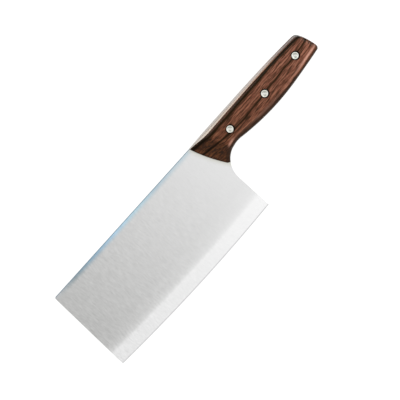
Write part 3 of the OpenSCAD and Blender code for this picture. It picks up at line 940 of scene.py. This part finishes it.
    # height above the underside: the notch, the belly or the tail
    def pick(limit, before, after):
        past = add("Math", "GREATER_THAN", {0: alongX, 1: limit})
        return add("Mix", inputs={0: past, 2: before, 3: after})

    overNotch = add("Math", "SUBTRACT", {0: farFrom(add, point, notchCentre), 1: knife["notchRadius"]})
    overBelly = add("Math", "SUBTRACT", {0: knife["bellyRadius"], 1: farFrom(add, point, bellyCentre)})
    overTail = add("Math", "SUBTRACT", {0: knife["tailRadius"], 1: farFrom(add, point, tailCentre)})
    above = pick(tailX, pick(notchEnd.x, overNotch, overBelly), overTail)

    # the underside is darker, partly from staining and partly painted shade, and a painted highlight runs
    # along the line where its rounding starts
    reach = curveAlong([(x, high / given["highest"]) for x, high in given["underReach"]])
    overReach = add("Math", "MULTIPLY_ADD", {0: reach, 1: -given["highest"], 2: above})
    under = add("MapRange", softly, {
        "Value": overReach, "From Min": given["underSoft"][0], "From Max": -given["underSoft"][1],
        "To Max": given["underStrength"]})
    shaded = add("Mix", ofColours, {0: under, 6: frontShaded, 7: srgb(given["under"])})
    # painted highlight on the line where the lower rounding starts
    startAt, fullAt, fullStill, endAt = given["lowHighlightHeights"]
    lineStart = add("MapRange", softly, {"Value": above, "From Min": startAt, "From Max": fullAt})
    lineEnd = add("MapRange", softly, {"Value": above, "From Min": endAt, "From Max": fullStill})
    highlightBand = add("Math", "MULTIPLY", {0: lineStart, 1: lineEnd})
    lowHighlightAlong = add("Math", "MULTIPLY", {0: highlightBand, 1: curveAlong(given["lowHighlight"])})
    lowHighlight = add("Mix", ofColours, {0: lowHighlightAlong, 6: shaded, 7: srgb(given["lowEdgeHighlight"])})
    colour = add("Mix", ofColours, {0: onTop, 6: lowHighlight, 7: highlighted})

    height = add("Math", "SUBTRACT", {0: streaks, 1: inPore})
    bump, skin = (add("Bump", inputs={
        "Strength": strength, "Distance": given["bumpDepth"] * mm, "Height": height})
        for strength in given["bumps"])
    gloss = add("MapRange", inputs={
        "Value": add("Math", "MAXIMUM", {0: veins, 1: ringed}),
        "To Min": given["specular"][1], "To Max": given["specular"][0]})
    shine = add("Math", "MULTIPLY", {0: onFlat, 1: curveAlong(given["polish"])})
    edgeGloss = add("Mix", inputs={0: onTop, 2: gloss, 3: given["specular"][0]})
    wholeGloss = add("Mix", inputs={0: shine, 2: edgeGloss, 3: given["sideGloss"]})
    rough = add("MapRange", inputs={
        "Value": shine, "To Min": given["roughness"], "To Max": given["sideRoughness"]})
    shader = add("BsdfPrincipled", inputs={
        "Base Color": colour, "Roughness": rough, "IOR": given["ior"],
        "Specular IOR Level": wholeGloss, "Coat Weight": given["varnish"],
        "Coat Roughness": given["varnishRoughness"], "Normal": bump, "Coat Normal": skin})
    add("OutputMaterial", inputs={"Surface": shader})
    return material


def scaleStations():
    # each station: top point, low point, bow between them, how far along the ramp it is
    # and how far the wood has dropped toward the butt
    found = []
    for k in range(scale["rampSteps"]):
        f = scale["rampStations"] * k / scale["rampSteps"]
        xt = woodFront + f * scale["rampTop"]
        xl = cutStart.x + f * scale["rampLow"]
        found.append((Vector((xt, upperY(xt))), Vector((xl, rampLowY(xl))),
                      -knife["woodBow"] * max(0.0, 1 - f), f, 0.0))
    topStart = woodFront + scale["rampStations"] * scale["rampTop"]
    lowStart = cutStart.x + scale["rampStations"] * scale["rampLow"]
    topEnd = buttTopCentre.x + knife["buttTopRadius"] * math.cos(buttTopAngles[0])
    lowEnd = buttLowCentre.x + knife["buttLowRadius"] * math.cos(buttLowAngles[0])
    for k in range(scale["gripSteps"]):
        f = k / scale["gripSteps"]
        xt = topStart + f * (topEnd - topStart)
        xl = lowStart + f * (lowEnd - lowStart)
        found.append((Vector((xt, upperY(xt))), Vector((xl, lowerY(xl))), 0.0, math.inf, 0.0))
    ends = [buttTopCentre + knife["buttTopRadius"] * ray(buttTopAngles[1]),
            buttLowCentre + knife["buttLowRadius"] * ray(buttLowAngles[1])]
    bow = knife["buttRadius"] - math.sqrt(knife["buttRadius"] ** 2 - ((ends[1] - ends[0]).length / 2) ** 2)
    for k in range(scale["buttSteps"] + 1):
        f = k / scale["buttSteps"]
        topAngle = buttTopAngles[0] + f * (buttTopAngles[1] - buttTopAngles[0])
        lowAngle = buttLowAngles[0] + f * (buttLowAngles[1] - buttLowAngles[0])
        found.append((buttTopCentre + knife["buttTopRadius"] * ray(topAngle),
                      buttLowCentre + knife["buttLowRadius"] * ray(lowAngle),
                      bow * math.sin(math.pi / 2 * f), math.inf,
                      scale["buttRise"] * (1 - math.cos(math.pi / 2 * f))))
    return found, ((ends[0] + ends[1]) / 2 - buttCentre).normalized()


def makeScale(name, side, material, seed):
    stations, buttWay = scaleStations()
    full, thin = knife["scaleThickness"], scale["frontThickness"]
    rampEnd = woodFront + scale["rampTop"]
    rim = 4  # points at each end of the upper side that have none under them
    rings = []
    for top, low, bow, rampAt, buttDrop in stations:
        width = (low - top).length

        def thickness(share):
            t = full - buttDrop
            if rampAt < math.inf:
                blend = scale["rampBlend"][0] + share * (scale["rampBlend"][1] - scale["rampBlend"][0])
                ramp = thin + (full - thin) * rampAt ** scale["rampHollow"]
                t = softMin(ramp, t, blend) if ramp < full + blend else t
                t -= scale["frontEase"] * (1 - blendSteps(0, scale["frontEaseReach"], rampAt)) ** 2
            return t

        upper = []
        steps, ease, most = scale["roundSteps"], scale["jointEase"], scale["roundShare"]
        tTop, tLow = thickness(0), thickness(1)
        gone = min(1, max(0, (top.x - rampEnd) / (stations[-1][0].x - rampEnd)))
        topRound = scale["topRound"] + gone * (scale["topRoundRear"] - scale["topRound"])
        up, down = min(topRound, most * tTop), min(scale["lowRise"], most * tLow)
        upWidth, downWidth = up, scale["lowRound"] * down / scale["lowRise"]
        upper += [(ease / width, 0.0), (0.0, ease), (0.0, (ease + tTop - up) / 2)]
        for i in range(steps + 1):
            a = math.pi / 2 * i / steps
            share = upWidth * (1 - math.cos(a)) / width
            upper.append((share, thickness(share) - up * (1 - math.sin(a))))
        for i in range(1, scale["faceSteps"]):
            share = (upWidth + (width - upWidth - downWidth) * i / scale["faceSteps"]) / width
            upper.append((share, thickness(share)))
        for i in range(steps, -1, -1):
            a = math.pi / 2 * i / steps
            share = 1 - downWidth * (1 - math.cos(a)) / width
            upper.append((share, thickness(share) - down * (1 - math.sin(a))))
        upper += [(1.0, (ease + tLow - down) / 2), (1.0, ease), (1 - ease / width, 0.0)]

        def across(share):
            way = Vector((1, 0)) if bow < 0 else buttWay
            return top + share * (low - top) + bow * 4 * share * (1 - share) * way

        ring = []
        long, wide = scale["waveLength"]
        for share, z in upper:
            p = across(share)
            at = Vector((p.x / long, p.y / wide, seed * scale["waveStep"]))
            wave = scale["waviness"] * noise.noise(at) if z > scale["waveAbove"] else 0.0
            ring.append(place(p.x, p.y, side * (steelHalf + min(z + wave, full))))
        for share, z in reversed(upper[rim:-rim]):
            p = across((ease + (width - 2 * ease) * share) / width)
            ring.append(place(p.x, p.y, side * steelHalf))
        rings.append(ring)

    # each ring is closed: first the upper side's points, then the flat face's, back under them
    count, topCount = len(rings[0]), len(upper)
    under = [0] * rim + [count - 1 - k for k in range(topCount - 2 * rim)] + [topCount - 1] * rim
    # the butt's bow goes no further back than the solid's
    verts = [(min(v.x, cadBox[1][0]), v.y, v.z) for ring in rings for v in ring]
    faces = [(j + i, j + (i + 1) % count, j + count + (i + 1) % count, j + count + i)
             for j in range(0, (len(rings) - 1) * count, count) for i in range(count)]
    for start in (0, (len(rings) - 1) * count):
        for k in range(topCount - 1):
            corners = []
            for c in (k, k + 1, under[k + 1], under[k]):
                if start + c not in corners:
                    corners.append(start + c)
            if len(corners) > 2:
                faces.append(tuple(corners))
    return newPiece(name, verts, faces, material)


def cutSeats(piece, side):
    # bored and countersunk from the outside: tube's bore, head's seat and a bevelled mouth
    inner, outer = -rivet["cutPast"][0], handleHalf + rivet["cutPast"][1]
    bore = rivet["tubeWidth"] / 2 + rivet["tubeGap"]
    seat, seatZ = rivet["headWidth"] / 2 + rivet["headGap"], handleHalf - rivet["headHeight"]
    profile = [(0, inner), (bore, inner), (bore, seatZ), (seat, seatZ)]
    profile += [(seat + out, handleHalf + up) for out, up in rivet["mouth"]]
    profile += [(profile[-1][0], outer), (0, outer)]
    for name, spot in rivetSpots.items():
        cutter = lathe("seatCutter", [(r, side * z) for r, z in profile], spot, piece.data.materials[0])
        cut = piece.modifiers.new("seat", "BOOLEAN")
        cut.operation = "DIFFERENCE"
        cut.solver = "MANIFOLD"
        cut.object = cutter
        mesh = meshWithModifiers(piece)
        piece.modifiers.clear()
        piece.data = mesh
        bpy.data.objects.remove(cutter)
    shadeSmooth(piece.data)


def makeScales():
    material = varnishedRosewood()
    for name, node, side, seed in (("leftScale", "scale_left", 1, 1), ("rightScale", "scale_right", -1, 2)):
        piece = makeScale(name, side, material, seed)
        cutSeats(piece, side)
        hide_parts(node)
        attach(piece, "root")


makeScales()
print("scales made")
